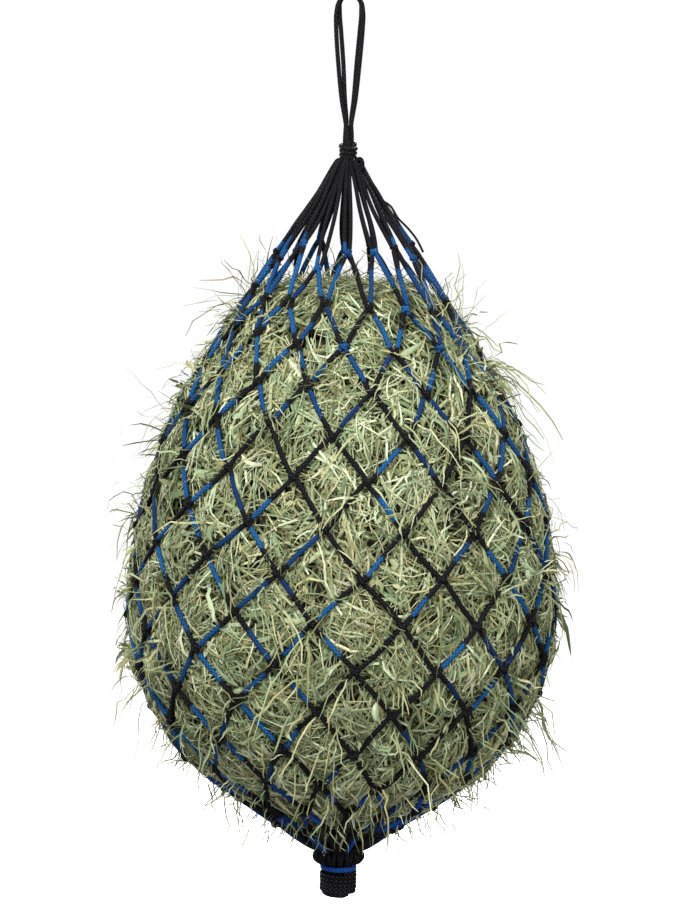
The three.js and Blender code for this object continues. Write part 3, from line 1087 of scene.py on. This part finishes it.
rings = np.concatenate([core_hoops(CROWN_HOOPS, True), side, core_hoops(FOOT_HOOPS, False)])
last = (len(rings) - 1) * AROUND
middle = last + AROUND
verts = np.concatenate([rings.reshape(-1, 3), [[0, 0, -292.5], [0, 0, -849.5]]])
quads = grid_faces(len(rings), AROUND)[:, [0, 3, 2, 1]]
k = np.arange(AROUND)
after = (k + 1) % AROUND
top_fan = np.stack([np.full(AROUND, middle), k, after], 1)
foot_fan = np.stack([np.full(AROUND, middle + 1), last + after, last + k], 1)
core = new_object("hay_shade_core", verts, [quads, top_fan, foot_fan])
n = Nodes("hay_shade_core")
straws = n.noise(260, 4, n.stretched(n.add("TexCoord").outputs["Object"], (1.0, 1.0, 0.35)), 0.6)
# Painted shade: near-black, so that the gaps between the blades read as deep shade.
color = n.ramp(straws, [(0.30, (0.004, 0.004, 0.002)), (0.52, (0.017, 0.017, 0.008)),
                        (0.72, (0.060, 0.060, 0.028))])
color = n.mix(n.math("MULTIPLY", n.noise(60, 3), 0.5), color, (0.022, 0.019, 0.009))
dress(core, n.surface(color, 0.9), "net")


# The crown of the hay, seen through the neck of the net
blades = Blades()


CROWN_RADIUS = 82


def crown_lines(count, length, lift, rise):
    length = rng.uniform(*length, (count, 1))
    lift = rng.uniform(*lift, (count, 1))
    rise = rng.normal(*rise, (count, 1))
    r = CROWN_RADIUS * np.sqrt(rng.uniform(0, 1, count))
    a = rng.uniform(0, TAU, count)
    heading = rng.uniform(0, TAU, count)
    t = np.linspace(-0.5, 0.5, 5)[None]
    s = t * length
    bend = rng.normal(0, 0.6, count)[:, None]
    x = (r * np.sin(a))[:, None] + s * np.cos(heading[:, None] + bend * t)
    y = (-r * np.cos(a))[:, None] + s * np.sin(heading[:, None] + bend * t)
    far = np.hypot(x, y)
    z = np.interp(far, [0, 45, 76, 95, 130], [-289, -290, -294, -308, -350])
    z = z + lift + length * rise * (t + 0.5)
    return np.stack([x, y, z], -1)


for count, width, length, lift, rise, mean, dry_share in (
        (2400, (2.0, 5.5), (16, 38), (-6, 2.0), (0.01, 0.10), 0.46, 0.16),
        (4200, (0.9, 2.2), (18, 46), (-6, 2.5), (0.03, 0.12), 0.60, 0.30),
        (200, (0.9, 1.8), (20, 46), (-3, 2.0), (0.26, 0.26), 0.66, 0.40)):
    tone, dry = shades(count, mean, 0.20, dry_share)
    lines = crown_lines(count, length, lift, rise)
    shape = LEAF if width[1] > 3 else FIBRE
    blades.leaves(lines, width, shape, 0.6, 0.8, tone, dry, 0.9)
blades.build("hay_crown", leaf_mat)

# Short crooked wisps that hang from the foot, and thin ones that rise beside the neck
blades = Blades()
add_wisps(blades, 90, 4, (34, 78), (0.9, 1.7), 0.30, 14.9, 12.6, 0.66)
blades.build("hay_foot_wisps", leaf_mat)
blades = Blades()
add_wisps(blades, 22, 3, (34, 82), (0.8, 1.4), 0.08, 2.9, HAY_TOP_ROW, 0.60, 1.2)
blades.build("hay_neck_wisps", leaf_mat)

# ------------ studio
FLOOR_Z = -1250.0
FLOOR_HALF = 90000.0
CELLS = 24
k = np.linspace(-FLOOR_HALF, FLOOR_HALF, CELLS + 1)
grid_x, grid_y = np.meshgrid(k, k)
verts = np.stack([grid_x.ravel(), grid_y.ravel(), np.full(grid_x.size, FLOOR_Z)], 1)
floor = new_object("floor", verts, grid_faces(CELLS + 1, CELLS + 1, closed=False))
n = Nodes("floor")
paper = n.ramp(n.noise(30, 4), [(0.3, (0.90, 0.90, 0.90)), (0.7, (0.93, 0.93, 0.93))])
floor.data.materials.append(n.surface(paper, 0.95, 0.1))
n.feed_named(n.shader, Emission_Color=(1, 1, 1), Emission_Strength=0.72)
floor.visible_diffuse = False
floor.visible_glossy = False

# The room: white where the camera sees it, dimmer as a light
SKY_LIGHT = 0.31
world = bpy.data.worlds.new("studio")
scene.world = world
world.use_nodes = True
tree = world.node_tree
seen = tree.nodes["Background"]
seen.inputs[0].default_value = (1, 1, 1, 1)
seen.inputs[1].default_value = 1.0
lit = tree.nodes.new("ShaderNodeBackground")
lit.inputs[0].default_value = (1, 1, 1, 1)
lit.inputs[1].default_value = SKY_LIGHT
choose = tree.nodes.new("ShaderNodeMixShader")
tree.links.new(tree.nodes.new("ShaderNodeLightPath").outputs["Is Camera Ray"], choose.inputs[0])
tree.links.new(lit.outputs[0], choose.inputs[1])
tree.links.new(seen.outputs[0], choose.inputs[2])
tree.links.new(choose.outputs[0], tree.nodes["World Output"].inputs[0])
scene.view_settings.view_transform = "Standard"


def softbox(name, place, size, power, target=(0, 0, -0.45)):
    light = bpy.data.objects.new(name, bpy.data.lights.new(name, "AREA"))
    light.data.shape = "RECTANGLE"
    light.data.size, light.data.size_y = size
    light.data.energy = power
    light.location = place
    light.rotation_mode = "QUATERNION"
    light.rotation_quaternion = (Vector(target) - Vector(place)).to_track_quat("-Z", "Y")
    light.visible_camera = False
    scene.collection.objects.link(light)


softbox("key", (-0.9, -2.4, 1.5), (0.7, 0.7), 157)
softbox("fill", (1.9, -2.0, 0.2), (1.2, 1.2), 42)
softbox("top", (0.2, -0.2, 2.0), (1.2, 1.2), 30)
softbox("bounce", (0.2, -2.0, -1.0), (1.6, 0.3), 14, (0, 0, -0.8))
softbox("back", (0.9, 2.4, 1.3), (0.9, 0.9), 150)
softbox("back_fill", (-2.1, 1.5, 0.3), (1.2, 1.2), 45)
